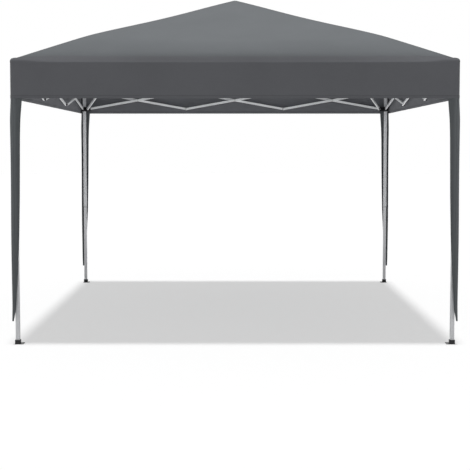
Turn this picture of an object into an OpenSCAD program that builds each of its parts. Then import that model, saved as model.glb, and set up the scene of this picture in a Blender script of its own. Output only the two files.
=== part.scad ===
// Folding canopy tent on four telescoping legs, shown erected.
// Millimetres, +Z up, +Y to the back, origin on the ground at the centre.
// Corners are numbered anticlockwise from the front left, seen from above.
// Side k runs from corner k to corner k + 1, so side 0 is the front.

/* [Canopy] */
// Half of the canopy's width, over the valance
canopy_half = 1500; // [1200:10:2000]
// Height of the eave, where roof and valance meet
eave_z = 1910; // [1700:5:2300]
// Height of the peak above the ground
peak_z = 2525; // [2300:5:3100]
// Depth of the valance below the eave
valance_h = 255; // [150:5:350]
// Thickness of the fabric
fabric_t = 0.5; // [0.4:0.1:1]
// Where the hip bends over the roof saddle, as a share of the way from corner to peak
bend_share = 0.3; // [0.2:0.01:0.4]
// How far the bend lifts the hip above a straight line
bend_lift = 27; // [5:1:40]
// Width of a corner wing where it leaves the valance
wing_w = 78; // [40:2:120]
// Width of a corner wing at its lower end
wing_end_w = 9; // [5:1:30]
// Height of the corner wing's lower end above the ground
wing_end_z = 160; // [50:5:600]

/* [Legs] */
// How far each leg's centre stands inside the canopy's outer faces
leg_inset = 30; // [26:1:60]
// Outer width of the leg post's square tube
leg_w = 30; // [26:1:40]
// Wall of the leg tubes
leg_wall = 1.2; // [0.8:0.1:2]
// Corner radius of the leg tubes
leg_corner = 3; // [1.5:0.5:5]
// Gap between the leg post and the inner leg inside it
leg_gap = 0.6; // [0.3:0.1:0.9]
// Height of the leg post's lower end
post_bottom = 745; // [650:5:850]
// How far the extended inner leg still reaches up into the leg post
leg_overlap = 200; // [120:5:205]
// How far the inner leg slides up to stow it
leg_travel = 700; // [500:5:705]
// Height of the height button above the leg post's lower end
button_rise = 45; // [25:5:80]
// Radius of the height button
button_r = 4; // [3:0.5:5]
// How far the height button stands out of the post
button_proud = 4.5; // [3:0.5:6]

/* [Feet] */
// Width of the square foot plate
foot_w = 60; // [50:2:80]
// Thickness of the foot plate
foot_t = 3; // [2:0.5:5]
// How far the foot plate is set inwards from the leg's centre
foot_shift = 10; // [0:1:15]
// Radius of the peg hole in the foot plate
peg_hole_r = 5; // [3:0.5:6]
// Height of the plastic foot collar above the plate
foot_collar_h = 25; // [15:1:30]

/* [Truss] */
// Height between the upper and the lower rivets when erected
truss_h = 170; // [120:5:260]
// Drop from the eave to the upper rivets
truss_drop = 40; // [36:1:60]
// Distance from a leg's centre to the first rivet
rivet_reach = 48; // [44:1:60]
// Distance between neighbouring upper rivets when folded
fold_pitch = 29; // [27:1:40]
// Height of a bar's rectangular tube
bar_h = 20; // [16:1:24]
// Thickness of a bar's rectangular tube
bar_t = 10; // [8:0.5:12]
// Wall of a bar's tube
bar_wall = 0.6; // [0.5:0.1:2]
// Gap between the two lapped layers of bars
lap_gap = 3; // [2:0.5:5]
// Corner radius of a bar's tube
bar_corner = 1.5; // [1:0.1:2]
// How far a bar runs on past its last rivet
bar_end = 12; // [11:0.5:13]
// Thickness of the end cap on a bar
cap_t = 2.5; // [1.5:0.5:3]

/* [Roof] */
// Height of a roof arm's pivot above the upper rivets
arm_rise = 62; // [50:1:70]
// Distance of the roof rods' pivots from the peak's centre line
hub_r = 50; // [48:1:60]
// How much longer an inner roof rod is than an outer one
rod_extra = 45; // [40:1:60]
// Sideways step from the outer roof rod to the inner rod, and to the strut
rod_step = 18; // [17:0.5:20]
// Radius of the peak cap's dome
dome_r = 60; // [50:2:80]
// Radius of the roof hub's plate
hub_plate_r = 64; // [62:1:76]

/* [Fittings] */
// Wall of the corner brackets and sliders round the leg post
sleeve_wall = 4; // [3:0.5:6]
// Gap between a slider and the leg post
slider_gap = 0.4; // [0.3:0.1:0.8]
// Thickness of each cheek that holds a bar
cheek_t = 3.5; // [2.5:0.5:4]
// Gap beside a bar between its cheeks
cheek_gap = 0.75; // [0.5:0.05:1]
// Radius of the rounded end of a cheek
cheek_r = 12; // [11:0.5:13]
// Radius of a rivet's shank
rivet_r = 3; // [2.5:0.1:3.5]
// Gap between a rivet's shank and a bar that turns on it
rivet_gap = 0.6; // [0.4:0.05:0.9]
// Radius of a rivet's head
head_r = 6; // [5:0.5:7]
// Thickness of a rivet's head
head_t = 2; // [1.5:0.1:2.2]
// Radius of the slider's release button
slider_button_r = 6; // [5:0.5:7]
// Travel of the slider's release button
slider_button_travel = 2.5; // [2:0.1:3]

/* [Hidden] */
$fn = 32;
corner_names = ["front_left", "front_right", "back_right", "back_left"];
side_names = ["front", "right", "back", "left"];
corners = [0:3];
bars_a_side = 6;
bar_numbers = [0:bars_a_side - 1];

white = [0.86, 0.87, 0.88];
silver = [0.72, 0.73, 0.75];
black = [0.09, 0.09, 0.1];
steel = [0.55, 0.56, 0.58];
fabric_grey = [0.42, 0.43, 0.45];

// Clearances that are not driven
soft_gap = 0.4;
seat_gap = 0.1;
head_gap = 0.4;
spacer_gap = 0.3;
button_gap = 0.3;
button_rest = 0.5;
// How far a cut runs past the face that it opens
reach_past = 1;

// Small shapes that are not driven
least_corner = 0.3;
crown_share = 0.6;
dome_share = 0.6;
button_tip_share = 0.5;
spacer_inset = 1;
corner_step = 1;
cheek_skirt = 2;
bush_step = 0.2;
round_fn = 64;

// Roof heights: the hip bends at bend_half, and the middle of each face runs straight
bend_half = canopy_half * (1 - bend_share);
bend_z = eave_z + (peak_z - eave_z) * bend_share + bend_lift;
low_slope = (bend_z - eave_z) / (canopy_half - bend_half);
high_slope = (peak_z - bend_z) / bend_half;
mid_slope = (peak_z - eave_z) / canopy_half;
function hip_z(a) = a > bend_half ? eave_z + (canopy_half - a) * low_slope : peak_z - a * high_slope;
function mid_z(a) = peak_z - a * mid_slope;

// Legs: each stands this far from the tent's centre planes
leg_c = canopy_half - leg_inset;

// Truss: three crossed pairs on each side
upper_z = eave_z - truss_drop;
lower_z = upper_z - truss_h;
crosses = bars_a_side / 2;
rivet_pitch = 2 * (leg_c - rivet_reach) / crosses;
bar_len = norm([rivet_pitch, truss_h]);
bar_tilt = atan2(truss_h, rivet_pitch);
layer = (bar_t + lap_gap) / 2;
hole_r = rivet_r + rivet_gap;
tongue_less = 2 * bar_wall + 2 * seat_gap;
slot_w = bar_t + 2 * cheek_gap;
fork_w = slot_w + 2 * cheek_t;
turn_r = norm([bar_end, bar_h / 2]) + reach_past;

// Folded, the legs stand this far from the centre planes and the bars reach this deep
folded_c = rivet_reach + fold_pitch * crosses / 2;
folded_depth = sqrt(bar_len * bar_len - fold_pitch * fold_pitch);

// Roof rods: from a pivot on the corner bracket to the hub, with a knee between
arm_z = upper_z + arm_rise;
arm_r = sqrt(2) * folded_c - hub_r;
hub_plate_t = 6;
dome_base_r = 48;
dome_rise = sqrt(dome_r * dome_r - dome_base_r * dome_base_r);
dome_z = peak_z - (fabric_t + soft_gap + dome_r) / cos(atan(mid_slope));
hub_plate_z = dome_z + dome_rise - hub_plate_t;
hub_z = hub_plate_z - turn_r;
rod_span = sqrt(2) * leg_c - arm_r - hub_r;
rod_tilt = atan2(hub_z - arm_z, rod_span);
rod_line = norm([rod_span, hub_z - arm_z]);
outer_len = (rod_line - rod_extra) / 2;
inner_len = (rod_line + rod_extra) / 2;

// The strut joins the slider to the outer rod where it stands upright at both ends of the fold
stow_rise = arm_rise + folded_depth;
strut_rise = arm_rise + truss_h;
strut_at = (stow_rise * stow_rise - strut_rise * strut_rise) / (2 * (stow_rise + strut_rise * sin(rod_tilt)));
strut_len = stow_rise - strut_at;
strut_tilt = atan2(strut_rise + strut_at * sin(rod_tilt), strut_at * cos(rod_tilt));

// Roof saddle on the outer rod, which carries the fabric at the hip
saddle_r = 8;
saddle_half = 22;
saddle_corner = 3;
saddle_shoulder = 4;
saddle_neck = 0.7;
saddle_half_inner = (sqrt(2) * leg_c - arm_r - strut_at * cos(rod_tilt)) / sqrt(2);
saddle_room = hip_z(saddle_half_inner) - arm_z - strut_at * sin(rod_tilt);
hip_tilt = atan(low_slope / sqrt(2));
saddle_up = (saddle_room - (saddle_r + soft_gap + fabric_t) / cos(atan(low_slope)))
            * cos(hip_tilt) / cos(hip_tilt - rod_tilt);

// Leg tubes and feet
post_top = upper_z + turn_r;
sleeve_corner = leg_corner + corner_step;
inner_corner = leg_corner - corner_step;
inner_w = leg_w - 2 * leg_wall - 2 * leg_gap;
inner_top = post_bottom + leg_overlap;
bush_t = 4;
button_z = post_bottom + button_rise;
step_pitch = 75;
height_steps = [0, step_pitch, 2 * step_pitch, leg_travel];
foot_corner = 8;
foot_collar_w = 36;
peg_inset = 2.2;
peg_at = foot_shift + foot_w / 2 - peg_inset * peg_hole_r;

// Brackets and sliders
bracket_w = leg_w + 2 * seat_gap + 2 * sleeve_wall;
fabric_upright = 1.2;
bracket_top = hip_z(leg_c + bracket_w / 2) - fabric_t * fabric_upright - soft_gap;
sleeve_drop = 30;
bracket_bottom = upper_z - sleeve_drop;
arm_root_drop = 8;
// Where the roof arm's underside leaves the round at its pivot, as a share of that round
arm_heel = [0.6, 0.8];
slider_in = leg_w + 2 * slider_gap;
slider_w = slider_in + 2 * sleeve_wall;
slider_up = 18;
slider_down = 24;
web_t = 3;
slider_boss = 4;
slider_boss_wall = 3;
slider_lug_root = 4;
slider_button_drop = 3;
slider_button_z = lower_z - slider_button_drop;

function corner_node(k, what) = str(corner_names[k], "_", what);
function bar_node(k, i) = str(side_names[k], "_truss_bar_", i + 1);
// The side of the outer rod on which corner k's inner rod lies
function rod_side(k) = k == 1 ? -1 : 1;

// ---- Places ----

// Leg centre of corner k, with +X along side k and +Y back along the side before it
module corner(k) {
    rotate([0, 0, 90 * k]) translate([-leg_c, -leg_c, 0]) children();
}

// Middle of side k at the legs' plane, with +X along it and -Y outwards
module side(k) {
    rotate([0, 0, 90 * k]) translate([0, -leg_c, 0]) children();
}

// From a corner's leg towards the peak, along +X
module inwards() {
    rotate([0, 0, 45]) children();
}

// From the peak's centre line towards corner k, along +X
module outwards(k) {
    rotate([0, 0, 90 * k + 225]) children();
}

// Turns a side view drawn in X and Y, or a pin along Z, so that it stands across Y
module along_y() {
    rotate([90, 0, 0]) children();
}

// Turns a pin along Z so that its head points along +Y, or along -Y where way is -1
module across(way) {
    rotate([-90 * way, 0, 0]) children();
}

// ---- Shared shapes ----

module rounded_square(w, h, r) {
    square([w - 2 * r, h], center = true);
    square([w, h - 2 * r], center = true);
    for (x = [-1, 1], y = [-1, 1]) {
        translate([x * (w / 2 - r), y * (h / 2 - r)]) circle(r = r);
    }
}

module tube_section(w, h, wall, r) {
    difference() {
        rounded_square(w, h, r);
        rounded_square(w - 2 * wall, h - 2 * wall, max(r - wall, least_corner));
    }
}

// Domed rivet along Z, centred, with its heads clear of a pack of the given thickness
module rivet(pack) {
    under = pack / 2 + head_gap;
    color(steel) {
        cylinder(r = rivet_r, h = 2 * under + head_t, center = true);
        for (m = [0, 1]) mirror([0, 0, m]) translate([0, 0, under]) {
            cylinder(r = head_r, h = head_t / 2);
            translate([0, 0, head_t / 2]) cylinder(r1 = head_r, r2 = head_r * crown_share, h = head_t / 2);
        }
    }
}

// Half of a rivet, in a pack that starts at z = 0, with its head above the pack
module half_rivet(pack) {
    under = pack + head_gap;
    color(steel) {
        cylinder(r = rivet_r, h = under + head_t / 2);
        translate([0, 0, under]) {
            cylinder(r = head_r, h = head_t / 2);
            translate([0, 0, head_t / 2]) cylinder(r1 = head_r, r2 = head_r * crown_share, h = head_t / 2);
        }
    }
}

module spacer(thickness) {
    color(black) difference() {
        cylinder(r = bar_h / 2 - spacer_inset, h = thickness, center = true);
        cylinder(r = hole_r, h = thickness + 2 * reach_past, center = true);
    }
}

// Moulded cap on a tube's end at x = 0, facing +X, with a tongue in the tube
module end_cap() {
    color(black) {
        along_y() linear_extrude(bar_t, center = true) {
            translate([0, -bar_h / 2 + cap_t]) square([cap_t, bar_h - 2 * cap_t]);
            intersection() {
                for (y = [-1, 1]) translate([0, y * (bar_h / 2 - cap_t)]) circle(r = cap_t);
                translate([0, -bar_h / 2]) square([cap_t, bar_h]);
            }
        }
        translate([-bar_end / 2, 0, 0]) rotate([90, 0, 90]) linear_extrude(bar_end / 2) {
            rounded_square(bar_t - tongue_less, bar_h - tongue_less, bar_corner);
        }
    }
}

// Rectangular tube from pivot to pivot along X, starting at x = 0, drilled at each place in holes
module flat_bar(length, holes, shade) {
    tube_len = length + 2 * (bar_end - cap_t);
    color(shade) difference() {
        translate([length / 2 - tube_len / 2, 0, 0]) rotate([90, 0, 90]) {
            linear_extrude(tube_len) tube_section(bar_t, bar_h, bar_wall, bar_corner);
        }
        for (x = holes) translate([x, 0, 0]) along_y() {
            cylinder(r = hole_r, h = bar_t + 2 * reach_past, center = true);
        }
    }
    translate([length + bar_end - cap_t + seat_gap, 0, 0]) end_cap();
    translate([cap_t - bar_end - seat_gap, 0, 0]) rotate([0, 0, 180]) end_cap();
}

// Fork that holds a bar by a rivet at (reach, 0), seen from the side, solid from root to the rivet
module fork_profile(reach, root, low, high) {
    translate([root, -low]) square([reach - root, low + high]);
    translate([reach, 0]) circle(r = low);
    translate([reach, 0]) square([low, high]);
}

// Truss arm along +X with a slot open below; bar_side tells in which layer its bar lies
module truss_arm(bar_side) {
    translate([0, bar_side * layer, 0]) along_y() difference() {
        linear_extrude(fork_w, center = true) {
            fork_profile(rivet_reach, 0, cheek_r + cheek_skirt, turn_r + web_t);
        }
        translate([rivet_reach - turn_r - 2 * reach_past, -leg_w, -slot_w / 2]) {
            cube([2 * leg_w, leg_w + turn_r, slot_w]);
        }
        translate([rivet_reach, 0, 0]) {
            cylinder(r = rivet_r + seat_gap, h = fork_w + 2 * reach_past, center = true);
        }
    }
}

// ---- Legs ----

// Corner bracket: sleeve over the post, two truss arms and the raised roof arm
module corner_bracket() {
    color(black) difference() {
        union() {
            translate([0, 0, bracket_bottom]) {
                linear_extrude(bracket_top - bracket_bottom) {
                    rounded_square(bracket_w, bracket_w, sleeve_corner);
                }
            }
            for (turn = [0, 90]) rotate([0, 0, turn]) translate([0, 0, upper_z]) truss_arm(1);
            inwards() along_y() linear_extrude(fork_w, center = true) roof_arm_profile();
        }
        translate([0, 0, bracket_bottom - reach_past]) {
            linear_extrude(post_top + seat_gap - bracket_bottom + reach_past) {
                rounded_square(leg_w + 2 * seat_gap, leg_w + 2 * seat_gap, leg_corner);
            }
        }
        inwards() translate([arm_r - turn_r, -slot_w / 2, arm_z - leg_w]) {
            cube([2 * leg_w, slot_w, 2 * leg_w]);
        }
        inwards() translate([arm_r, 0, arm_z]) along_y() {
            cylinder(r = rivet_r + seat_gap, h = fork_w + 2 * reach_past, center = true);
        }
    }
    for (turn = [0, 90]) rotate([0, 0, turn]) {
        translate([rivet_reach, layer, upper_z]) along_y() rivet(fork_w);
    }
    inwards() translate([arm_r, 0, arm_z]) along_y() rivet(fork_w);
}

module roof_arm_profile() {
    root = bracket_w / 2;
    polygon([
        [root, upper_z - arm_root_drop],
        [root, bracket_top],
        [arm_r - cheek_r * sin(rod_tilt), arm_z + cheek_r * cos(rod_tilt)],
        [arm_r + cheek_r * arm_heel.x, arm_z - cheek_r * arm_heel.y]
    ]);
    translate([arm_r, arm_z]) circle(r = cheek_r);
}

module leg_post(k) {
    corner(k) {
        color(silver) difference() {
            translate([0, 0, post_bottom]) {
                linear_extrude(post_top - post_bottom) tube_section(leg_w, leg_w, leg_wall, leg_corner);
            }
            button_place(k) cylinder(r = button_r + button_gap, h = leg_w, center = true);
        }
        color(black) translate([0, 0, post_bottom - bush_t - seat_gap]) {
            linear_extrude(bush_t) tube_section(leg_w, leg_w, leg_wall + bush_step, leg_corner);
        }
        corner_bracket();
    }
}

// Centre of the height button on the post's face that looks along the front or back, Z outwards
module button_place(k) {
    rotate([0, 0, 90 * (k % 2)]) translate([leg_w / 2, 0, button_z]) rotate([0, 90, 0]) children();
}

module height_button(k) {
    stem = leg_wall + leg_gap - button_gap;
    dome = button_r * dome_share;
    color(silver) corner(k) button_place(k) {
        translate([0, 0, -stem]) cylinder(r = button_r, h = stem + button_proud - dome);
        translate([0, 0, button_proud - dome]) {
            cylinder(r1 = button_r, r2 = button_r * button_tip_share, h = dome);
        }
    }
}

module inner_leg(k) {
    corner(k) {
        color(silver) difference() {
            translate([0, 0, foot_t + seat_gap]) {
                linear_extrude(inner_top - foot_t - seat_gap) {
                    tube_section(inner_w, inner_w, leg_wall, inner_corner);
                }
            }
            for (step = height_steps) translate([0, 0, -step]) {
                button_place(k) cylinder(r = button_r + 2 * button_gap, h = leg_w, center = true);
            }
        }
        color(black) translate([0, 0, foot_t + seat_gap]) linear_extrude(foot_collar_h) {
            difference() {
                rounded_square(foot_collar_w, foot_collar_w, sleeve_corner);
                rounded_square(inner_w + 2 * seat_gap, inner_w + 2 * seat_gap, inner_corner);
            }
        }
        color(black) linear_extrude(foot_t) difference() {
            translate([foot_shift, foot_shift]) rounded_square(foot_w, foot_w, foot_corner);
            translate([peg_at, peg_at]) circle(r = peg_hole_r);
        }
    }
}

// Slider: sleeve that runs on the post, two truss arms open above and a lug beside the strut
module slider(k) {
    lug_way = -rod_side(k);
    lug_out = rod_step - bar_t / 2 - 2 * spacer_gap;
    lug_t = lug_out - bar_t / 2;
    boss_r = slider_button_r + slider_boss_wall;
    corner(k) translate([0, 0, lower_z]) {
        color(black) difference() {
            union() {
                translate([0, 0, -slider_down]) {
                    linear_extrude(slider_down + slider_up) rounded_square(slider_w, slider_w, sleeve_corner);
                }
                mirror([0, 0, 1]) for (turn = [0, 90]) rotate([0, 0, turn]) truss_arm(-1);
                inwards() translate([0, lug_way * (lug_out - lug_t / 2), 0]) along_y() {
                    linear_extrude(lug_t, center = true) {
                        translate([slider_w / 2 - slider_lug_root, -cheek_r]) {
                            square([arm_r - slider_w / 2 + slider_lug_root, 2 * cheek_r]);
                        }
                        translate([arm_r, 0]) circle(r = cheek_r);
                    }
                }
                translate([0, -slider_w / 2 - slider_boss / 2, slider_button_z - lower_z]) along_y() {
                    cylinder(r = boss_r, h = slider_boss + reach_past, center = true);
                }
            }
            translate([0, 0, -slider_down - reach_past]) {
                linear_extrude(slider_down + slider_up + 2 * reach_past) {
                    rounded_square(slider_in, slider_in, leg_corner);
                }
            }
            inwards() translate([arm_r, 0, 0]) along_y() {
                cylinder(r = rivet_r + seat_gap, h = 3 * rod_step, center = true);
            }
            translate([0, -slider_w / 2 + sleeve_wall / 2, slider_button_z - lower_z]) rotate([90, 0, 0]) {
                cylinder(r = slider_button_r + button_gap, h = leg_w);
            }
        }
        for (turn = [0, 90]) rotate([0, 0, turn]) {
            translate([rivet_reach, -layer, 0]) along_y() rivet(fork_w);
        }
        inwards() translate([arm_r, lug_way * lug_out, 0]) across(-lug_way) half_rivet(lug_t);
    }
}

module slider_button(k) {
    bore_floor = slider_w / 2 - sleeve_wall / 2;
    inner_end = bore_floor + slider_button_travel + button_rest;
    color(silver) corner(k) translate([0, -inner_end, slider_button_z]) along_y() {
        cylinder(r = slider_button_r, h = sleeve_wall / 2 + slider_boss);
    }
}

// ---- Truss ----

// Bars with even numbers rise to the right in the outer layer and carry the rivets
module truss_bar(k, i) {
    cross = floor(i / 2);
    rising = i % 2 == 1;
    lean = rising ? -1 : 1;
    start_x = rivet_reach - leg_c + cross * rivet_pitch;
    start_z = rising ? lower_z : upper_z;
    side(k) translate([start_x, lean * layer, start_z]) rotate([0, lean * bar_tilt, 0]) {
        flat_bar(bar_len, [0, bar_len / 2, bar_len], white);
        if (rising) {
            rivets_at = concat(
                cross > 0 ? [0] : [],
                [bar_len / 2],
                cross < crosses - 1 ? [bar_len] : []
            );
            for (x = rivets_at) translate([x, layer, 0]) along_y() {
                rivet(2 * bar_t + lap_gap);
                spacer(lap_gap - 2 * spacer_gap);
            }
        }
    }
}

// ---- Roof frame ----

// Outer rod from the corner bracket up to the knee, with the saddle that carries fabric and strut
module outer_roof_rod(k) {
    far = rod_side(k);
    corner(k) inwards() translate([arm_r, 0, arm_z]) rotate([0, -rod_tilt, 0]) {
        flat_bar(outer_len, [0, strut_at, outer_len], white);
        translate([strut_at, 0, 0]) saddle(far);
        translate([outer_len, 0, 0]) across(far) {
            if (k == 0) translate([0, 0, rod_step / 2]) rivet(rod_step + bar_t);
            if (k != 0) mirror([0, 0, 1]) bar_half_rivet();
            translate([0, 0, rod_step / 2]) spacer(rod_step - bar_t - 2 * spacer_gap);
        }
    }
}

// The half of a rivet that stays in a bar whose pivot is shared with another body
module bar_half_rivet() {
    translate([0, 0, -bar_t / 2]) half_rivet(bar_t);
}

// Moulded saddle round the outer rod, with a crown above it and a boss for the strut
module saddle(far) {
    shell_w = bar_t + 2 * cheek_t;
    boss = rod_step - bar_t / 2 - shell_w / 2 - soft_gap;
    color(black) difference() {
        union() {
            along_y() linear_extrude(shell_w, center = true) {
                rounded_square(2 * saddle_half, bar_h + 2 * web_t, saddle_corner);
            }
            along_y() linear_extrude(saddle_r, center = true) polygon([
                [-saddle_half + saddle_shoulder, bar_h / 2],
                [-saddle_r * saddle_neck, saddle_up],
                [saddle_r * saddle_neck, saddle_up],
                [saddle_half - saddle_shoulder, bar_h / 2]
            ]);
            translate([0, 0, saddle_up]) sphere(r = saddle_r);
            translate([0, -far * (shell_w + boss) / 2, 0]) along_y() {
                cylinder(r = bar_h / 2 - spacer_inset, h = boss, center = true);
            }
        }
        cube([2 * (saddle_half + reach_past), bar_t + 2 * seat_gap, bar_h + 2 * seat_gap], center = true);
        along_y() cylinder(r = rivet_r + seat_gap, h = 3 * shell_w, center = true);
    }
    span = rod_step + bar_t / 2 + shell_w / 2;
    translate([0, -far * (span / 2 - shell_w / 2), 0]) along_y() rivet(span);
}

// Inner rod from the hub down to the knee
module inner_roof_rod(k) {
    far = rod_side(k);
    outwards(k) translate([hub_r, -far * rod_step, hub_z]) rotate([0, rod_tilt, 0]) {
        flat_bar(inner_len, [0, inner_len], white);
        if (k != 0) translate([inner_len, 0, 0]) across(-far) bar_half_rivet();
    }
}

// Strut from the slider's lug up to the saddle
module roof_strut(k) {
    corner(k) inwards() translate([arm_r, -rod_side(k) * rod_step, lower_z]) rotate([0, -strut_tilt, 0]) {
        flat_bar(strut_len, [0, strut_len], white);
        across(-rod_side(k)) bar_half_rivet();
    }
}

// Hub plate with a fork for each inner rod and a boss in the middle
module roof_hub() {
    color(black) difference() {
        union() {
            translate([0, 0, hub_plate_z]) cylinder(r = hub_plate_r, h = hub_plate_t, $fn = round_fn);
            translate([0, 0, hub_z - cheek_r]) {
                cylinder(r = hub_r / 2, h = hub_plate_z - hub_z + cheek_r + reach_past);
            }
            for (k = corners) outwards(k) translate([0, -rod_side(k) * rod_step, hub_z]) along_y() {
                linear_extrude(fork_w, center = true) {
                    translate([hub_r, 0]) circle(r = cheek_r);
                    translate([hub_r - cheek_r, 0]) square([2 * cheek_r, turn_r + reach_past]);
                }
            }
        }
        for (k = corners) outwards(k) translate([hub_r, -rod_side(k) * rod_step, hub_z]) {
            translate([-turn_r, -slot_w / 2, -leg_w]) cube([3 * leg_w, slot_w, leg_w + turn_r]);
            along_y() cylinder(r = rivet_r + seat_gap, h = fork_w + 2 * reach_past, center = true);
        }
    }
    for (k = corners) outwards(k) translate([hub_r, -rod_side(k) * rod_step, hub_z]) along_y() rivet(fork_w);
}

// Domed cap on the hub, under the peak of the fabric
module peak_cap() {
    color(black) intersection() {
        translate([0, 0, dome_z]) sphere(r = dome_r, $fn = round_fn);
        translate([0, 0, dome_z + dome_rise]) cylinder(r = dome_r, h = dome_r);
    }
}

// ---- Canopy ----

// Eight points of a square ring: corners on the hips, the rest in the middle of the sides
function ring(a, corner_z, side_z) = [
    for (k = [0:3], mid = [0, 1])
        let (turn = 90 * k, x = mid == 0 ? -a : 0)
        [x * cos(turn) + a * sin(turn), x * sin(turn) - a * cos(turn), mid == 0 ? corner_z : side_z]
];

function roof_ring(a, drop) = ring(a, hip_z(a) - drop, mid_z(a) - drop);

// One sheet: down the outside from the peak to the hem, then up the inside
module canopy_sheet() {
    steps = [0.05, 0.25, 0.5, 1 - bend_share, 0.85, 0.985];
    hem_z = eave_z - valance_h;
    inside = canopy_half - fabric_t;
    drop = fabric_t / cos(atan(mid_slope));
    rings = concat(
        [for (s = steps) roof_ring(s * canopy_half, 0)],
        [ring(canopy_half, eave_z, eave_z), ring(canopy_half, hem_z, hem_z), ring(inside, hem_z, hem_z)],
        [ring(inside, eave_z - drop, eave_z - drop)],
        [for (i = [len(steps) - 1:-1:0]) roof_ring(steps[i] * canopy_half, drop)]
    );
    around = 8;
    points = concat([for (r = rings) each r], [[0, 0, peak_z], [0, 0, peak_z - drop]]);
    last = (len(rings) - 1) * around;
    outer_peak = len(rings) * around;
    inside_from = len(steps) + 2;
    // Both skins fold along the same line: from mid side above to corner below
    walls = [
        for (r = [0:len(rings) - 2], i = [0:around - 1])
            let (a = r * around + i, b = r * around + (i + 1) % around, c = a + around, d = b + around)
            each (r < inside_from) == (i % 2 == 0) ? [[a, b, c], [b, d, c]] : [[a, b, d], [a, d, c]]
    ];
    peaks = [
        for (i = [0:around - 1])
            let (j = (i + 1) % around)
            each [[outer_peak, j, i], [outer_peak + 1, last + i, last + j]]
    ];
    polyhedron(points = points, faces = concat(walls, peaks), convexity = 6);
}

// Corner wing: two tapering strips that hang from the valance round the leg's outer sides
module corner_wing() {
    hem_z = eave_z - valance_h;
    drop = hem_z - wing_end_z;
    tall = [[0, 0], [wing_w, 0], [wing_end_w, -drop], [0, -drop]];
    translate([-canopy_half, -canopy_half, hem_z]) {
        translate([0, fabric_t, 0]) rotate([90, 0, 0]) linear_extrude(fabric_t) polygon(tall);
        mirror([1, -1, 0]) translate([0, fabric_t, 0]) rotate([90, 0, 0]) {
            linear_extrude(fabric_t) polygon(tall);
        }
    }
}

module canopy() {
    color(fabric_grey) {
        canopy_sheet();
        for (k = corners) rotate([0, 0, 90 * k]) corner_wing();
    }
}

// ---- Nodes ----

for (k = corners) {
    leg_post(k);
    inner_leg(k);
    height_button(k);
    slider(k);
    slider_button(k);
    for (i = bar_numbers) truss_bar(k, i);
    outer_roof_rod(k);
    inner_roof_rod(k);
    roof_strut(k);
}
roof_hub();
peak_cap();
canopy();
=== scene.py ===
"""The look of the pop-up tent: its sewn cover, paint, plating and plastics, the floor, lamps and camera."""

import math

import bmesh
import bpy
import numpy as np
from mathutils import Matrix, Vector


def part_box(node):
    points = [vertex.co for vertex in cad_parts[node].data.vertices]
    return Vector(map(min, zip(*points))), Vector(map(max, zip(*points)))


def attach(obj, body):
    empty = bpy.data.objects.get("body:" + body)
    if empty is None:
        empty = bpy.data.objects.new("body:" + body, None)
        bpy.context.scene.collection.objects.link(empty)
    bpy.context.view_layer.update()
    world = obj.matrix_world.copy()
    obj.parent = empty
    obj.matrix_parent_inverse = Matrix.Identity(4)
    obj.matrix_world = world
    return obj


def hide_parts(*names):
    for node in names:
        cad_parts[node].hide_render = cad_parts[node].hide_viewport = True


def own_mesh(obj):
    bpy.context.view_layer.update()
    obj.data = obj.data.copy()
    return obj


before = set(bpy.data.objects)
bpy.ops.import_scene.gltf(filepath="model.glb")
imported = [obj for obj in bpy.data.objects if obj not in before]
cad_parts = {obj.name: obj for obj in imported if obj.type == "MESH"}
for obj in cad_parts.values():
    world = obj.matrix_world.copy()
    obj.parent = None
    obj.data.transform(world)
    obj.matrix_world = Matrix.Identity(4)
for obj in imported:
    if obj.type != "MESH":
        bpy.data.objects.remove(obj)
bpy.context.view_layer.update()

CORNERS = ["front_left", "front_right", "back_right", "back_left"]
SIDES = ["front", "right", "back", "left"]
SIGNS = {"front_left": (-1, -1), "front_right": (1, -1), "back_right": (1, 1), "back_left": (-1, 1)}
OUTWARD = np.array([[0, -1], [1, 0], [0, 1], [-1, 0]], float)
ALONG = np.array([[1, 0], [0, 1], [-1, 0], [0, -1]], float)


# ---------------------------------------------------------------- sizes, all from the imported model
def points_of(node):
    """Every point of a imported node, in metres."""
    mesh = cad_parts[node].data
    flat = np.empty(len(mesh.vertices) * 3)
    mesh.vertices.foreach_get("co", flat)
    return flat.reshape(-1, 3)


canopy_points = points_of("canopy")
levels = np.unique(np.round(canopy_points[:, 2], 4))
HALF = float(np.abs(canopy_points[:, 0]).max())
PEAK = float(levels[-1])
WING_END = float(levels[0])
HEM = float(levels[levels > WING_END + 0.1][0])
EAVE = float(canopy_points[np.abs(canopy_points[:, 0]) > HALF - 0.0001][:, 2].max())
# A hip bends where it stands furthest above a straight line from the peak to the eave
on_hip = canopy_points[np.abs(np.abs(canopy_points[:, 0]) - np.abs(canopy_points[:, 1])) < 0.001]
on_hip = on_hip[on_hip[:, 2] > EAVE]
above_line = on_hip[:, 2] - PEAK + (PEAK - EAVE) * np.abs(on_hip[:, 0]) / HALF
BEND, _, BEND_Z = (abs(float(v)) for v in on_hip[np.argmax(above_line)])
KNEE = abs(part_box("front_left_outer_roof_rod")[1][0])
hem_points = canopy_points[np.abs(canopy_points[:, 2] - HEM) < 0.001]
WING = HALF - float(np.abs(hem_points).min(axis=0)[0])

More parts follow.
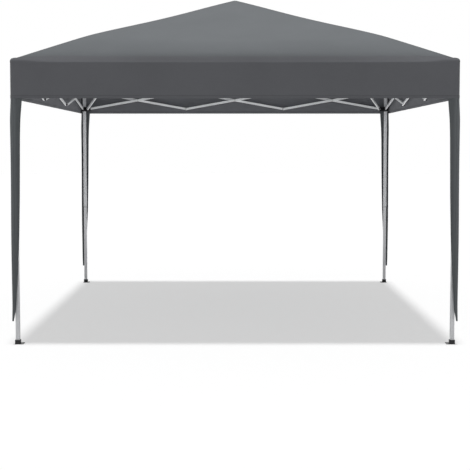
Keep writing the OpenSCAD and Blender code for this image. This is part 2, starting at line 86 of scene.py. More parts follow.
EDGE = 0.061  # how far in from the eave the cover stays with the legs when the frame folds
CORNER = 0.09  # the same, along the eave from each corner
CROWN = 0.121  # the part of the roof that stays on the hub
EAVE_IN, CORNER_IN = 0.22, 0.036  # how far the eave's bend reaches up the roof, mid side and at a corner
EAVE_UP, EAVE_DOWN = 0.018, 0.018  # how far the bend stands above the eave, and ends below it
CORNER_PUSH = 0.005  # how much the corner brackets push the cloth out
EASE_FROM, EASE_TO = 0.78, 0.955  # where along a side the bend changes to the corner's
PUSH_FROM, PUSH_TO = 0.89, 0.978  # where along a side the brackets' push begins and is full
PLAN_R = 0.030  # the round of the upright corner, seen from above
HIP_R = 0.018  # the round of the roof over a hip, seen from above
HEM_H = 0.022  # the height of the turned-up hem
CLOTH = 0.0011  # how far one more layer of cloth stands out
PEAK_ROUND = 0.004  # how softly the cloth turns over the cap at the peak
BEND_ROUND = 0.002  # how softly a hip turns over its saddle
HIP_DIP = 0.009  # how far a hip sags between the cap and its saddle
FACE_SAG = 0.011  # how far the middle of a roof face sags
FACE_PULL = 0.0016  # how deep the faint pulls across a roof face are
RIPPLE = 0.0022  # how deep the valance ripples at its hem
CROWN_ROWS = [0.004, 0.02, 0.05, 0.085]  # half widths of the rows of points up to the crown's edge
ROOF_STEPS = 30  # rows of points from the crown to the edge piece
EAVE_STEPS = 15  # rows of points from the edge piece's start to the valance
ROLL_AT = [0.46, 0.40, 0.31, 0.24, 0.17, 0.13, 0.085, 0.043, 0.0]  # distances in from the eave
ROLL_TURN = [0, 5, 11, 16, 21, 26, 35, 43, 50]  # how many degrees the shading turns outwards there


# ---------------------------------------------------------------- the cover's surface
def hip_z(a):
    """The height of the roof over a hip, a being the half width of the roof there."""
    top = PEAK + PEAK_ROUND
    fall = (top - BEND_Z) / BEND
    upper = top - np.sqrt((fall * a) ** 2 + PEAK_ROUND**2)
    lower = EAVE + (HALF - a) * (BEND_Z - EAVE) / (HALF - BEND)
    mean, gap = (upper + lower) / 2, (upper - lower) / 2
    lift = BEND_ROUND * (1 - (2 * a / HALF - 1) ** 4)
    dip = HIP_DIP * np.sin(np.pi * np.clip(a / BEND, 0, 1)) ** 2
    return mean - np.sqrt(gap**2 + BEND_ROUND**2) + lift - dip


def roof_z(a, t):
    """The height of the roof at half width a and share t of the way from mid side to the hip."""
    top = PEAK + PEAK_ROUND
    fall = (top - EAVE) / HALF
    middle = top - np.sqrt((fall * a) ** 2 + PEAK_ROUND**2)
    towards_hip = np.abs(t) ** 1.6
    loose = (1 - t**2) * np.sin(np.pi * a / HALF)
    pull = FACE_PULL * np.sin(a * 9 + 3 * t) * np.sin(7 * t + 1.3) * loose
    return middle + (hip_z(a) - middle) * towards_hip - FACE_SAG * loose + pull


def columns():
    """Where the lines of points lie across one side: kind and share, from its first corner to the next."""
    straight = [("s", f) for f in np.concatenate([np.linspace(0, 0.9, 19), [0.93, 0.955, 0.975, 0.99, 1.0]])]
    arc = [("a", f) for f in np.linspace(0, 1, 7)[1:]]
    half = straight + arc
    return [(k, -f) for k, f in reversed(half[1:])] + half


def plan(a, radius, column):
    """Out and along of a point on a rounded square of half width a, and its share of the half side."""
    kind, f = column
    size = abs(f)
    if kind == "s":
        out, along, t = a, size * (a - radius), size * (a - radius) / max(a, 1e-6)
    else:
        turn = size * math.pi / 4
        out = a - radius + radius * math.cos(turn)
        along = a - radius + radius * math.sin(turn)
        t = 1 - (radius / max(a, 1e-6)) * (1 - size)
    return out, math.copysign(along, f) if f else 0.0, t


def smooth(value, low, high):
    share = min(max((value - low) / (high - low), 0.0), 1.0)
    return share * share * (3 - 2 * share)


def over_eave(s, start_z, reach_in, pushed=0.0):
    """A point at share s of the bend from the roof over the eave: its half width and height."""
    z = (1 - s) ** 2 * start_z + 2 * s * (1 - s) * (EAVE + EAVE_UP) + s**2 * (EAVE - EAVE_DOWN)
    return HALF - reach_in * (1 - s) ** 2 + 2 * s * (1 - s) * CORNER_PUSH * pushed, z


def side_grid(side):
    """One side of the cover from the peak to the hem, as rows of points."""
    made = []
    roof_rows = np.concatenate([CROWN_ROWS, np.linspace(CROWN, HALF - EDGE, ROOF_STEPS + 1)])
    for column in columns():
        line = []
        size = abs(column[1])
        round_corner = column[0] == "a"
        ease = 1.0 if round_corner else smooth(size, EASE_FROM, EASE_TO)
        pushed = 1.0 if round_corner else smooth(size, PUSH_FROM, PUSH_TO)
        reach_in = EAVE_IN + (CORNER_IN - EAVE_IN) * ease
        wave = 0.0 if round_corner else (1 - size**8)
        bend_from = HALF - reach_in
        start_z = roof_z(bend_from, plan(bend_from, HIP_R, column)[2])
        for a in roof_rows:
            out, along, t = plan(a, min(HIP_R, 0.4 * a), column)
            z = roof_z(a, t)
            if a > bend_from:
                z = over_eave(1 - math.sqrt((HALF - a) / reach_in), start_z, reach_in)[1]
            line.append((out, along, z))
        before = [] if reach_in >= EDGE else [HALF - EDGE + (EDGE - reach_in) * f for f in (0.33, 0.66, 1.0)]
        for a in before:
            out, along, t = plan(a, HIP_R, column)
            line.append((out, along, roof_z(a, t)))
        first = 1 - math.sqrt(EDGE / reach_in) if reach_in >= EDGE else 0.0
        steps = EAVE_STEPS - len(before)
        for step in range(1, steps + 1):
            s = first + (1 - first) * step / steps
            a, z = over_eave(s, start_z, reach_in, pushed)
            out, along, _ = plan(a, HIP_R + (PLAN_R - HIP_R) * step / steps, column)
            line.append((out, along, z))
        low = EAVE - EAVE_DOWN
        fold_z = HEM + HEM_H
        down = [low + (fold_z - low) * f for f in (0.2, 0.4, 0.6, 0.8, 1.0)]
        rows = [(z, 0.0) for z in down]
        rows += [(fold_z - 0.0008, CLOTH), (HEM + 0.003, CLOTH), (HEM + 0.0006, CLOTH * 0.4)]
        rows += [(HEM + 0.0012, -CLOTH), (fold_z - 0.004, -CLOTH)]
        for z, proud in rows:
            hang = (low - z) / (low - HEM)
            out, along, _ = plan(HALF, PLAN_R, column)
            ripple = math.sin(along * 15.5 + side * 1.7) * math.cos(along * 4.1 + side)
            line.append((out + proud + RIPPLE * wave * hang * ripple, along, z))
        made.append(line)
    grid = np.array(made)
    flat = OUTWARD[side] * grid[..., 0:1] + ALONG[side] * grid[..., 1:2]
    return np.concatenate([flat, grid[..., 2:3]], axis=2)


def soften(grid, n, side):
    """Turns the normals near the eave outwards, as the padded, doubled cloth there rolls over softly."""
    from_eave = HALF - grid @ np.append(OUTWARD[side], 0)
    size = np.abs(grid @ np.append(ALONG[side], 0)) / HALF
    extra = np.interp(-from_eave, [-d for d in ROLL_AT], ROLL_TURN) * (1 - 0.35 * size**2)
    slope = np.radians(extra) + math.atan((PEAK - EAVE) / HALF)
    steep = np.clip(np.cos(slope), 0, 1)
    flat = np.linalg.norm(n[..., :2], axis=2)
    turned = (n[..., 2] > steep) & (extra > 0) & (flat > 1e-6)
    ratio = np.where(turned, np.sqrt(1 - steep**2) / np.maximum(flat, 1e-6), 1.0)
    n[..., :2] *= ratio[..., None]
    n[..., 2] = np.where(turned, steep, n[..., 2])


def tangent_normals(grids):
    """Normals of the whole cover, shared where sides meet, so that no join shows between its pieces."""
    keys, normals = {}, []
    for grid in grids:
        du = np.gradient(grid, axis=0)
        dv = np.gradient(grid, axis=1)
        n = np.cross(dv, du)
        normals.append(n / np.maximum(np.linalg.norm(n, axis=2, keepdims=True), 1e-12))
    for side, (grid, n) in enumerate(zip(grids, normals)):
        soften(grid, n, side)
    for grid, n in zip(grids, normals):
        for edge in (0, -1):
            for p, q in zip(grid[edge], n[edge]):
                key = tuple(np.round(p, 5))
                keys[key] = keys.get(key, 0) + q
    for grid, n in zip(grids, normals):
        for edge in (0, -1):
            for i, p in enumerate(grid[edge]):
                total = keys[tuple(np.round(p, 5))]
                n[edge][i] = total / max(np.linalg.norm(total), 1e-12)
    return normals


def grid_mesh(grid, normal):
    """A mesh of one grid of points that carries its normals along through every cut."""
    bm = bmesh.new()
    layer = bm.verts.layers.float_vector.new("face_out")
    verts = [[bm.verts.new(p) for p in line] for line in grid]
    for line, ns in zip(verts, normal):
        for v, n in zip(line, ns):
            v[layer] = Vector(n)
    for i in range(len(verts) - 1):
        for j in range(len(verts[0]) - 1):
            bm.faces.new((verts[i][j], verts[i + 1][j], verts[i + 1][j + 1], verts[i][j + 1]))
    bmesh.ops.recalc_face_normals(bm, faces=bm.faces)
    return bm


def cut(bm, *planes):
    """A copy of bm on the far side of each plane, a plane being a point and a direction."""
    kept = bm.copy()
    for point, direction in planes:
        bmesh.ops.bisect_plane(
            kept,
            geom=kept.verts[:] + kept.edges[:] + kept.faces[:],
            dist=1e-7,
            plane_co=Vector(point),
            plane_no=Vector(direction),
            clear_inner=True,
        )
    return kept


def finish_piece(name, parts, materials):
    """An object from cut meshes, welded, smooth and with the cover's own normals."""
    whole = bmesh.new()
    layer = whole.verts.layers.float_vector.new("face_out")
    for bm in parts:
        source = bm.verts.layers.float_vector["face_out"]
        made = {}
        for v in bm.verts:
            n = whole.verts.new(v.co)
            n[layer] = v[source]
            made[v] = n
        for f in bm.faces:
            whole.faces.new([made[v] for v in f.verts])
        bm.free()
    bmesh.ops.remove_doubles(whole, verts=whole.verts[:], dist=2e-5)
    for face in whole.faces:
        face.smooth = True
        total = Vector()
        for v in face.verts:
            total += v[layer]
        if total.dot(face.normal) < 0:
            face.normal_flip()
    mesh = bpy.data.meshes.new(name)
    directions = [v[layer].normalized() for v in whole.verts]
    whole.to_mesh(mesh)
    whole.free()
    mesh.normals_split_custom_set_from_vertices([tuple(n) for n in directions])
    if "face_out" in mesh.attributes:
        mesh.attributes.remove(mesh.attributes["face_out"])
    for m in materials:
        mesh.materials.append(m)
    obj = bpy.data.objects.new(name, mesh)
    bpy.context.scene.collection.objects.link(obj)
    return obj


# ---------------------------------------------------------------- materials
class Nodes:
    """A short way to write a material's nodes."""

    def __init__(self, name):
        self.mat = bpy.data.materials.new(name)
        self.mat.use_nodes = True
        self.tree = self.mat.node_tree
        self.shader = self.tree.nodes["Principled BSDF"]
        self.out = self.tree.nodes["Material Output"]
        self.where = self.add("ShaderNodeTexCoord").outputs["Object"]

    def add(self, kind, **values):
        node = self.tree.nodes.new(kind)
        for key, value in values.items():
            setattr(node, key, value)
        return node

    def put(self, socket, value):
        if isinstance(value, bpy.types.NodeSocket):
            self.tree.links.new(value, socket)
        else:
            socket.default_value = value

    def noise(self, scale, detail=3.0, stretch=None, rough=0.55):
        where = self.where
        if stretch is not None:
            mapping = self.add("ShaderNodeMapping")
            self.put(mapping.inputs["Vector"], self.where)
            self.put(mapping.inputs["Scale"], stretch)
            where = mapping.outputs["Vector"]
        node = self.add("ShaderNodeTexNoise")
        self.put(node.inputs["Vector"], where)
        self.put(node.inputs["Scale"], scale)
        self.put(node.inputs["Detail"], detail)
        self.put(node.inputs["Roughness"], rough)
        return node.outputs["Fac"]

    def math(self, how, a, b=0.0):
        node = self.add("ShaderNodeMath", operation=how)
        self.put(node.inputs[0], a)
        self.put(node.inputs[1], b)
        return node.outputs[0]

    def span(self, value, low, high, to_low, to_high):
        node = self.add("ShaderNodeMapRange")
        self.put(node.inputs["Value"], value)
        for key, v in zip(("From Min", "From Max", "To Min", "To Max"), (low, high, to_low, to_high)):
            self.put(node.inputs[key], v)
        return node.outputs["Result"]

    def mix(self, share, a, b):
        node = self.add("ShaderNodeMix", data_type="RGBA")
        self.put(node.inputs["Factor"], share)
        self.put(node.inputs["A"], a)
        self.put(node.inputs["B"], b)
        return node.outputs["Result"]

    def bump(self, height, depth, strength=1.0, onto=None):
        node = self.add("ShaderNodeBump")
        self.put(node.inputs["Height"], height)
        self.put(node.inputs["Distance"], depth)
        self.put(node.inputs["Strength"], strength)
        if onto is not None:
            self.put(node.inputs["Normal"], onto)
        return node.outputs["Normal"]

    def set(self, **values):
        names = {
            "color": "Base Color",
            "rough": "Roughness",
            "metal": "Metallic",
            "normal": "Normal",
            "sheen": "Sheen Weight",
            "sheen_rough": "Sheen Roughness",
            "coat": "Coat Weight",
            "coat_rough": "Coat Roughness",
            "specular": "Specular IOR Level",
        }
        for key, value in values.items():
            self.put(self.shader.inputs[names[key]], value)
        return self.mat


def rgba(color, share=1.0):
    """The colour a node's socket takes, made darker or paler by share."""
    return (*[c * share for c in color], 1.0)


def thread_slubs(n):
    """The uneven yarns of a woven cloth, running along x, y and z."""
    yarns = [n.noise(520, 2.0, s) for s in ((0.04, 1, 1), (1, 0.04, 1), (1, 1, 0.04))]
    return n.math("MULTIPLY", n.math("ADD", n.math("ADD", yarns[0], yarns[1]), yarns[2]), 1 / 3)


def cloth_material(name, dark, light, band=None):
    """Coated polyester: uneven yarns, faint cloudiness, and stitched lines at a seam or hem; on the corner
    pieces also painted shade towards the bottom and a painted highlight along the fold.
    """
    n = Nodes(name)
    slubs = thread_slubs(n)
    clouds = n.noise(2.2, 4.0)
    share = n.math("ADD", n.span(slubs, 0.4, 0.6, 0.0, 0.55), n.span(clouds, 0.35, 0.65, 0.0, 0.45))
    color = n.mix(share, rgba(dark), rgba(light))
    axes = n.add("ShaderNodeSeparateXYZ")
    n.put(axes.inputs[0], n.where)
    ax = n.math("ABSOLUTE", axes.outputs[0])
    ay = n.math("ABSOLUTE", axes.outputs[1])
    if band == "hip":
        away = n.math("ABSOLUTE", n.math("SUBTRACT", ax, ay))
        run = n.math("ADD", ax, ay)
        lines = [0.0, 0.016]
    elif band == "corner":
        away = n.math("SUBTRACT", n.math("SUBTRACT", 2 * HALF, ax), ay)
        run = axes.outputs[2]
        lines = [0.02]
        height_share = n.span(axes.outputs[2], 0.3, 1.6, 0.0, 1.0)
        # painted highlight: the cloth is made lighter along the rounded fold at the corner, most strongly
        # higher up
        fold = n.span(away, 0.004, 0.045, 1.0, 0.0)
        painted_fold_highlight = n.math("MULTIPLY", fold, n.span(height_share, 0, 1, 0.35, 1.0))
        # painted shade: the corner piece's cloth is made darker towards the bottom
        color = n.mix(n.span(height_share, 0, 1, 0.45, 0.0), color, rgba(dark, 0.62))
        color = n.mix(painted_fold_highlight, color, rgba(light, 1.5))
    else:
        away = n.math("SUBTRACT", axes.outputs[2], HEM)
        run = n.math("ADD", axes.outputs[0], axes.outputs[1])
        lines = [HEM_H - 0.003]
    stitch = 0.0
    for at in lines:
        near = n.span(n.math("ABSOLUTE", n.math("SUBTRACT", away, at)), 0.0006, 0.0018, 1.0, 0.0)
        stitch = near if stitch == 0.0 else n.math("MAXIMUM", stitch, near)
    dashes = n.span(n.math("SINE", n.math("MULTIPLY", run, 2 * math.pi / 0.006)), -0.5, 0.1, 0.45, 1.0)
    thread = n.math("MULTIPLY", stitch, dashes)
    color = n.mix(n.math("MULTIPLY", thread, 0.55), color, rgba(dark, 0.45))
    doubled = n.span(away, lines[-1] + 0.002, lines[-1] + 0.003, 1.0, 0.0)
    color = n.mix(n.math("MULTIPLY", doubled, 0.14), color, rgba(dark, 0.6))
    normal = n.bump(slubs, 0.00035, 0.6)
    normal = n.bump(n.noise(14, 3.0), 0.0012, 0.35, normal)
    normal = n.bump(thread, -0.0006, 0.8, normal)
    rough = n.span(slubs, 0.4, 0.6, 0.74, 0.86)
    return n.set(color=color, rough=rough, normal=normal, sheen=0.06, sheen_rough=0.5, specular=0.2)


def paint_material(name, dark, light, rough, coat):
    """Powder coat on steel tube: orange peel, faint handling marks and a little dust."""
    n = Nodes(name)
    marks = n.noise(18, 5.0, (1, 1, 0.25), 0.7)
    color = n.mix(n.span(marks, 0.3, 0.7, 0, 1), rgba(dark), rgba(light))
    scuff = n.span(n.noise(55, 6.0, (1, 1, 0.5), 0.75), 0.66, 0.72, 0.0, 0.5)
    color = n.mix(scuff, color, rgba(dark, 0.62))
    peel = n.bump(n.noise(900, 2.0), 0.0001, 0.5)
    gloss = n.math("ADD", n.span(marks, 0.3, 0.7, rough - 0.05, rough + 0.08), n.math("MULTIPLY", scuff, 0.3))
    return n.set(color=color, rough=gloss, normal=peel, coat=coat, coat_rough=0.2, specular=0.5, metal=0.0)


def plastic_material(name, dark, light, rough):
    """Moulded nylon: a spark-eroded grain, paler where it has been rubbed."""
    n = Nodes(name)
    grain = n.noise(1400, 2.0)
    rubbed = n.span(n.noise(30, 5.0, None, 0.7), 0.5, 0.75, 0.0, 1.0)
    color = n.mix(rubbed, rgba(dark), rgba(light))
    normal = n.bump(grain, 0.00012, 0.7)
    gloss = n.span(grain, 0.35, 0.65, rough - 0.06, rough + 0.1)
    return n.set(color=color, rough=gloss, normal=normal, specular=0.4)


def plated_material(name, dark, light, rough, metal):
    """Zinc-plated steel: fine brushed lines and slightly dulled patches."""
    n = Nodes(name)
    lines = n.noise(700, 3.0, (1, 1, 0.08))
    dull = n.noise(60, 4.0)
    color = n.mix(n.span(dull, 0.35, 0.65, 0, 1), rgba(dark), rgba(light))
    brushed = n.span(lines, 0.3, 0.7, rough - 0.05, rough + 0.07)
    gloss = n.math("ADD", brushed, n.span(dull, 0.4, 0.7, 0, 0.12))
    return n.set(color=color, rough=gloss, normal=n.bump(lines, 0.00004, 0.5), metal=metal)


ROOF_CLOTH = cloth_material("roof_cloth", (0.138, 0.149, 0.158), (0.158, 0.170, 0.180), "hip")
# the corner pieces' cloth carries painted shade towards the bottom and a painted highlight along its rounded
# fold
CORNER_CLOTH = cloth_material("corner_cloth", (0.108, 0.118, 0.124), (0.128, 0.138, 0.145), "corner")
HANGING_CLOTH = cloth_material("valance_cloth", (0.134, 0.138, 0.149), (0.154, 0.158, 0.171))
LEG_PAINT = paint_material("leg_paint", (0.74, 0.75, 0.77), (0.82, 0.83, 0.85), 0.38, 0.25)
BAR_PAINT = paint_material("bar_paint", (0.80, 0.81, 0.82), (0.87, 0.88, 0.89), 0.40, 0.2)
FOOT_PAINT = paint_material("foot_paint", (0.035, 0.036, 0.038), (0.055, 0.056, 0.058), 0.42, 0.1)
FITTING = plastic_material("fitting_nylon", (0.009, 0.009, 0.011), (0.018, 0.018, 0.020), 0.5)
BUSH = plastic_material("bush_nylon", (0.05, 0.05, 0.052), (0.07, 0.07, 0.072), 0.45)
PLATED = plated_material("zinc_plate", (0.58, 0.58, 0.59), (0.70, 0.70, 0.70), 0.28, 1.0)


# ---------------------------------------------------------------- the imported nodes' finishes
def islands(node):
    """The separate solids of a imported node: for each, its faces and its box's corners."""
    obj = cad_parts[node]
    mesh = obj.data
    points = points_of(node)
    _, welded = np.unique(np.round(points, 6), axis=0, return_inverse=True)
    welded = welded.reshape(-1)
    counts = np.empty(len(mesh.polygons), int)
    mesh.polygons.foreach_get("loop_total", counts)
    loops = np.empty(len(mesh.loops), int)
    mesh.loops.foreach_get("vertex_index", loops)
    face_of_loop = np.repeat(np.arange(len(counts)), counts)
    label = np.arange(len(mesh.polygons))
    corner = welded[loops]
    lowest = np.full(welded.max() + 1, len(label))
    while True:
        np.minimum.at(lowest, corner, label[face_of_loop])
        new = label.copy()
        np.minimum.at(new, face_of_loop, lowest[corner])
        new = new[new]
        if (new == label).all():
            break
        label = new
    found = []
    for one in np.unique(label):
        faces = np.flatnonzero(label == one)
        own = points[loops[np.isin(face_of_loop, faces)]]
        found.append((faces, own.min(axis=0), own.max(axis=0)))
    return found


FOOT_TOP = 0.004  # a foot plate's solid lies below this height
FITTING_SPAN = 0.045  # a solid with a longer diagonal is a moulded fitting
RIVET_FACES = 450  # a small solid with more faces has the domed heads of a rivet


def dress(node, tube, rest, tiny=PLATED, thin=FITTING, foot=None):
    """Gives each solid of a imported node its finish: tube, fittings, rivets, and caps and spacers."""
    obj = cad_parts[node]
    found = islands(node)
    spans = [high - low for _, low, high in found]
    longest = int(np.argmax([np.linalg.norm(s) for s in spans]))
    materials = [tube, rest, tiny, thin] + ([foot] if foot else [])
    obj.data.materials.clear()
    for m in materials:
        obj.data.materials.append(m)
    index = np.zeros(len(obj.data.polygons), int)
    for i, (faces, _, high) in enumerate(found):
        across = float(np.linalg.norm(spans[i]))
        if i == longest:
            pick = 0
        elif foot and high[2] < FOOT_TOP:
            pick = 4
        elif across > FITTING_SPAN:
            pick = 1
        elif len(faces) > RIVET_FACES:
            pick = 2
        else:
            pick = 3
        index[faces] = pick
    obj.data.polygons.foreach_set("material_index", index.astype(np.int32))


for corner in CORNERS:
    dress(f"{corner}_leg_post", LEG_PAINT, FITTING, thin=BUSH)
    dress(f"{corner}_inner_leg", LEG_PAINT, FITTING, thin=FITTING, foot=FOOT_PAINT)
    dress(f"{corner}_slider", FITTING, FITTING)
    dress(f"{corner}_outer_roof_rod", BAR_PAINT, FITTING)
    dress(f"{corner}_inner_roof_rod", BAR_PAINT, FITTING)
    dress(f"{corner}_roof_strut", BAR_PAINT, FITTING)
    dress(f"{corner}_height_button", PLATED, PLATED)
    dress(f"{corner}_slider_button", PLATED, PLATED)
for side in SIDES:
    for i in range(1, 7):
        dress(f"{side}_truss_bar_{i}", BAR_PAINT, FITTING)
dress("roof_hub", FITTING, FITTING)
dress("peak_cap", FITTING, FITTING)


grids = [side_grid(k) for k in range(len(SIDES))]
crown_row = len(CROWN_ROWS)
edge_row = crown_row + ROOF_STEPS
normals = tangent_normals(grids)
meshes = []
for grid, normal in zip(grids, normals):
    meshes.append(
        {
            "crown": grid_mesh(grid[:, : crown_row + 1], normal[:, : crown_row + 1]),
            "roof": grid_mesh(grid[:, crown_row : edge_row + 1], normal[:, crown_row : edge_row + 1]),
            "edge": grid_mesh(grid[:, edge_row:], normal[:, edge_row:]),
        }
    )

crown = finish_piece("roof_crown", [m["crown"] for m in meshes], [ROOF_CLOTH])
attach(crown, "roof_hub")

for k, side in enumerate(SIDES):
    planes = []
    for corner in (CORNERS[k], CORNERS[(k + 1) % 4]):
        inwards = -Vector((*SIGNS[corner], 0)).normalized()
        planes.append((-inwards * CROWN * math.sqrt(2), inwards))
    flap = finish_piece(f"crown_edge_{side}", [cut(meshes[k]["roof"], *planes)], [ROOF_CLOTH])
    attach(flap, "roof_hub")
    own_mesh(flap)

middle = (0, 0, 0)
for k, corner in enumerate(CORNERS):
    sx, sy = SIGNS[corner]
    diagonal = Vector((sx, sy, 0)).normalized()
    knee_at = Vector((sx * KNEE, sy * KNEE, 0))
    crown_at = Vector((sx * CROWN, sy * CROWN, 0))
    hip = Vector((sx * HALF, sy * HALF, EAVE)) - Vector((sx * BEND, sy * BEND, BEND_Z))
    hip_top = Vector((sx * BEND, sy * BEND, BEND_Z)) - Vector((0, 0, PEAK))
    for side, turn in ((k, -1), ((k - 1) % 4, 1)):
        along = Vector((*ALONG[side], 0))
        from_middle = along * turn
        name = f"{corner}_{SIDES[side]}"
        for part, body, line in (
            ("outer", f"{corner}_outer_roof_rod", hip),
            ("inner", f"{corner}_inner_roof_rod", hip_top),
        ):
            away = diagonal if part == "outer" else -diagonal
            planes = [(middle, from_middle), (knee_at, away)]
            if part == "inner":
                planes.append((crown_at, diagonal))
            bm = cut(meshes[side]["roof"], *planes)
            obj = finish_piece(f"roof_cloth_{name}_{part}", [bm], [ROOF_CLOTH])
            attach(obj, body)
            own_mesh(obj)
        inner_edge = from_middle * (HALF - CORNER)
        bm = cut(meshes[side]["edge"], (middle, from_middle), (inner_edge, -from_middle))
        obj = finish_piece(f"valance_{name}", [bm], [HANGING_CLOTH])
        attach(obj, f"{corner}_leg_post")
        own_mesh(obj)
    ends = []
    for side, turn in ((k, -1), ((k - 1) % 4, 1)):
        along = Vector((*ALONG[side], 0)) * turn
        ends.append(cut(meshes[side]["edge"], (along * (HALF - CORNER), along)))
    obj = finish_piece(f"cover_corner_{corner}", ends, [HANGING_CLOTH])
    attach(obj, f"{corner}_leg_post")


# ---------------------------------------------------------------- the long corner pieces down the legs
WING_TOP = HEM + 0.7 * HEM_H  # the wings start behind the valance's hem
WING_AT = [WING_END, 0.25, 0.45, 0.72, 1.0, 1.4, WING_TOP]  # heights at which a wing's width is given
WING_W = [0.014, 0.030, 0.042, 0.056, 0.063, 0.069, WING]
WING_ROWS, WING_LINES = 40, 25  # points down a wing, and across it
WING_R = 0.024  # the round of a wing's fold at the corner
WING_IN = 0.0024  # how far a wing's top lies inside the valance
WING_OUT = 0.006  # how far a wing comes out below it, which leaves room for the slider
WING_CURL = 0.0095  # how far a wing's edges curl in
WING_WAVE = 0.0012  # how far a wing waves in and out on its way down


def wing(corner):
    """The tapering cloth that hangs down the outside of a leg from the corner of the valance."""
    sx, sy = SIGNS[corner]
    grid = []
    for z in np.linspace(WING_TOP, WING_END, WING_ROWS):
        share = (WING_TOP - z) / (WING_TOP - WING_END)
        w = float(np.interp(z, WING_AT, WING_W))
        radius = min(WING_R, 0.75 * w)
        skin = HALF - WING_IN + WING_OUT * smooth(share, 0.0, 0.12)
        centre = skin - radius
        straight = max(w - radius, 0.0)
        arc = radius * math.pi / 2
        line = []
        for s in np.linspace(0, 2 * straight + arc, WING_LINES):
            if s < straight:
                p = np.array([skin, centre - (straight - s)])
                n = np.array([1.0, 0.0])
                edge = straight - s
            elif s <= straight + arc:
                turn = (s - straight) / max(radius, 1e-9)
                p = np.array([centre + radius * math.cos(turn), centre + radius * math.sin(turn)])
                n = np.array([math.cos(turn), math.sin(turn)])
                edge = 0.0
            else:
                p = np.array([centre - (s - straight - arc), skin])
                n = np.array([0.0, 1.0])
                edge = s - straight - arc
            curl = 0.0 if straight < 1e-6 else (edge / max(straight, 1e-6)) ** 2.2
            wave = WING_WAVE * math.sin(9 * share + 2.0) * (1 - curl)
            p = p + n * (wave - curl * min(WING_CURL, 0.15 * w))
            line.append((sx * p[0], sy * p[1], z))
        grid.append(line)
    grid = np.array(grid)
    du, dv = np.gradient(grid, axis=0), np.gradient(grid, axis=1)
    n = np.cross(dv, du) * sx * sy
    n /= np.maximum(np.linalg.norm(n, axis=2, keepdims=True), 1e-12)
    if n[WING_ROWS // 2, WING_LINES // 2] @ np.array([sx, sy, 0]) < 0:
        n = -n
    obj = finish_piece(f"leg_skirt_{corner}", [grid_mesh(grid, n)], [CORNER_CLOTH])
    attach(obj, f"{corner}_leg_post")
    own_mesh(obj)


for corner in CORNERS:
    wing(corner)

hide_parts("canopy")

# ---------------------------------------------------------------- floor, light and camera
FLOOR_R = 40
FLOOR_SIDES = 64
FLOOR_GLOW = 0.52  # how much of the floor's white is its own light, which keeps the tent's shadow pale
SKY_LIGHT = 0.27
OVERHEAD_LIGHT = 2.36
BOUNCE_LIGHT = 20  # the light that a bright floor would send up under the cover
BOUNCE_SIZE, BOUNCE_UP = 2.4, 0.25  # the side of that square lamp, and its height
WHITE = (1, 1, 1)
FOCAL_SHARE = 952 / 470  # the camera's focal length over the picture's width
CAMERA_BACK, CAMERA_UP = 7.86, 1.337  # where the camera stands, from the middle of the floor
CAMERA_DOWN = 3.2  # how many degrees the camera looks down
CAMERA_SHIFT = -0.0756  # how far the lens is shifted, as a share of the picture's width


def stage_material(name, color, own_light):
    """A pale floor that the camera and mirrors see nearly white, with the tent's shadow kept."""
    n = Nodes(name)
    path = n.add("ShaderNodeLightPath")
    seen = n.math("MAXIMUM", path.outputs["Is Camera Ray"], path.outputs["Is Glossy Ray"])
    seen = n.math("MAXIMUM", seen, path.outputs["Is Transmission Ray"])
    plain = n.add("ShaderNodeBsdfDiffuse")
    tone = n.mix(n.span(n.noise(3.0, 3.0), 0.3, 0.7, 0, 1), rgba(color, 0.985), rgba(color))
    n.put(plain.inputs["Color"], tone)
    bright = n.add("ShaderNodeBsdfDiffuse")
    n.put(bright.inputs["Color"], rgba(WHITE, 1 - own_light))
    glow = n.add("ShaderNodeEmission")
    n.put(glow.inputs["Color"], rgba(WHITE))
    n.put(glow.inputs["Strength"], own_light)
    both = n.add("ShaderNodeAddShader")
    n.put(both.inputs[0], bright.outputs[0])
    n.put(both.inputs[1], glow.outputs[0])
    chosen = n.add("ShaderNodeMixShader")
    n.put(chosen.inputs[0], seen)
    n.put(chosen.inputs[1], plain.outputs[0])
    n.put(chosen.inputs[2], both.outputs[0])
    n.put(n.out.inputs["Surface"], chosen.outputs[0])
    n.tree.nodes.remove(n.shader)
    return n.mat


floor_mesh = bpy.data.meshes.new("floor")
turns = np.linspace(0, 2 * math.pi, FLOOR_SIDES + 1)[:-1]
ring = [(FLOOR_R * math.cos(a), FLOOR_R * math.sin(a), 0.0) for a in turns]
floor_mesh.from_pydata(ring, [], [tuple(range(FLOOR_SIDES))])
floor = bpy.data.objects.new("floor", floor_mesh)
bpy.context.scene.collection.objects.link(floor)
floor.location.z = -0.0006
floor.data.materials.append(stage_material("pale_floor", (0.80, 0.80, 0.80), FLOOR_GLOW))

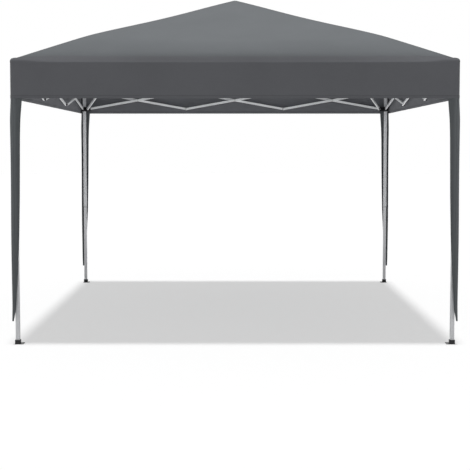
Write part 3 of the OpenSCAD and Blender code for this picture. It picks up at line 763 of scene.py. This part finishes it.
world = bpy.data.worlds.new("sky")
bpy.context.scene.world = world
world.use_nodes = True
tree = world.node_tree
sky = tree.nodes["Background"]
sky.inputs["Color"].default_value = rgba(WHITE)
sky.inputs["Strength"].default_value = SKY_LIGHT
white = tree.nodes.new("ShaderNodeBackground")
white.inputs["Color"].default_value = rgba(WHITE)
white.inputs["Strength"].default_value = 1.0
path = tree.nodes.new("ShaderNodeLightPath")
seen = tree.nodes.new("ShaderNodeMath")
seen.operation = "MAXIMUM"
tree.links.new(path.outputs["Is Camera Ray"], seen.inputs[0])
tree.links.new(path.outputs["Is Transmission Ray"], seen.inputs[1])
seen_or_mirrored = tree.nodes.new("ShaderNodeMath")
seen_or_mirrored.operation = "MAXIMUM"
tree.links.new(seen.outputs[0], seen_or_mirrored.inputs[0])
tree.links.new(path.outputs["Is Glossy Ray"], seen_or_mirrored.inputs[1])
blend = tree.nodes.new("ShaderNodeMixShader")
tree.links.new(seen_or_mirrored.outputs[0], blend.inputs[0])
tree.links.new(sky.outputs[0], blend.inputs[1])
tree.links.new(white.outputs[0], blend.inputs[2])
tree.links.new(blend.outputs[0], tree.nodes["World Output"].inputs["Surface"])

sun_data = bpy.data.lights.new("overhead", "SUN")
sun_data.energy = OVERHEAD_LIGHT
sun_data.angle = math.radians(5)
sun = bpy.data.objects.new("overhead", sun_data)
bpy.context.scene.collection.objects.link(sun)
sun.rotation_euler = (math.radians(1.0), 0, 0)

bounce_data = bpy.data.lights.new("bounce", "AREA")
bounce_data.shape = "SQUARE"
bounce_data.size = BOUNCE_SIZE
bounce_data.energy = BOUNCE_LIGHT
bounce = bpy.data.objects.new("bounce", bounce_data)
bpy.context.scene.collection.objects.link(bounce)
bounce.location = (0, 0, BOUNCE_UP)
bounce.rotation_euler = (math.pi, 0, 0)
bounce.visible_camera = False
bounce.visible_glossy = False

camera_data = bpy.data.cameras.new("photo_view")
camera = bpy.data.objects.new("photo_view", camera_data)
bpy.context.scene.collection.objects.link(camera)
camera_data.sensor_width = 36
camera_data.lens = FOCAL_SHARE * camera_data.sensor_width
camera_data.shift_y = CAMERA_SHIFT
camera_data.clip_end = 200
camera.location = (0, -CAMERA_BACK, CAMERA_UP)
camera.rotation_euler = (math.radians(90 - CAMERA_DOWN), 0, 0)
bpy.context.scene.camera = camera
bpy.context.scene.view_settings.view_transform = "Standard"
